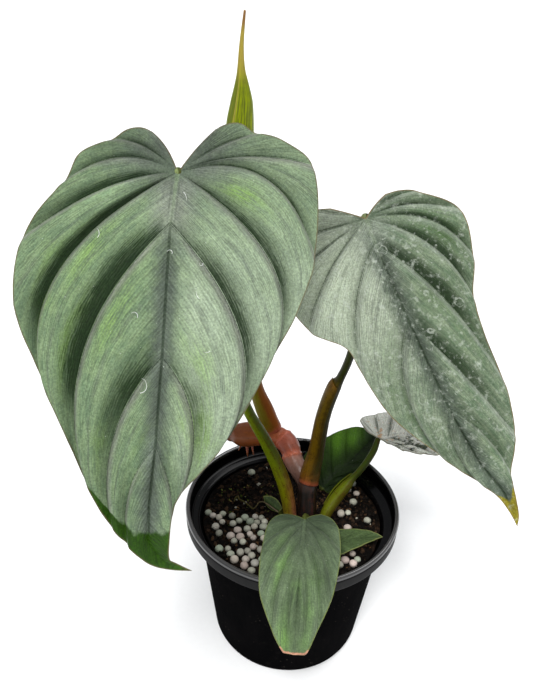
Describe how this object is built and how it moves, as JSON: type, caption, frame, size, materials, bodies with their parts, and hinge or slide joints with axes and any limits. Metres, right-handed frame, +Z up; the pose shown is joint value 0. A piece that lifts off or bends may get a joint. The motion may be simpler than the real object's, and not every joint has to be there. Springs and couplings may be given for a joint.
{
  "type": "potted philodendron",
  "caption": "Foliage plant with large pleated heart-shaped leaves on arching stalks and a rolled new leaf, in a round tapered nursery pot of soil with feed prills; stands on its base.",
  "frame": {"origin": "middle of the pot's flat base, on the surface that it stands on", "axes": "+Z up along the pot's axis; -Y towards the viewer of the picture, where the front leaf hangs over the rim; +X to the viewer's right"},
  "size_m": [0.1939, 0.18, 0.3305],
  "materials": {
    "pot_plastic": "satin",
    "soil": "matte",
    "stem_bark": "satin",
    "stalk_green": "satin",
    "stalk_olive": "satin",
    "stalk_tan": "satin",
    "leaf_blade": "satin",
    "leaf_silver": "satin",
    "leaf_young": "satin",
    "leaf_dark": "satin"
  },
  "bodies": {
    "root": {"nursery_pot": "pot_plastic", "potting_soil": "soil", "creeping_stem": "stem_bark", "stalk_left": "stalk_green", "stalk_right": "stalk_olive", "stalk_new": "stalk_tan", "stalk_front": "stalk_green", "stalk_low": "stalk_green", "stalk_side": "stalk_green", "stalk_rear": "stalk_green", "stalk_bud": "stalk_green", "leaf_left": "leaf_blade", "leaf_right": "leaf_silver", "leaf_new": "leaf_young", "leaf_front": "leaf_blade", "leaf_low": "leaf_blade", "leaf_side": "leaf_silver", "leaf_rear": "leaf_dark", "leaf_bud": "leaf_blade"}
  },
  "joints": []
}
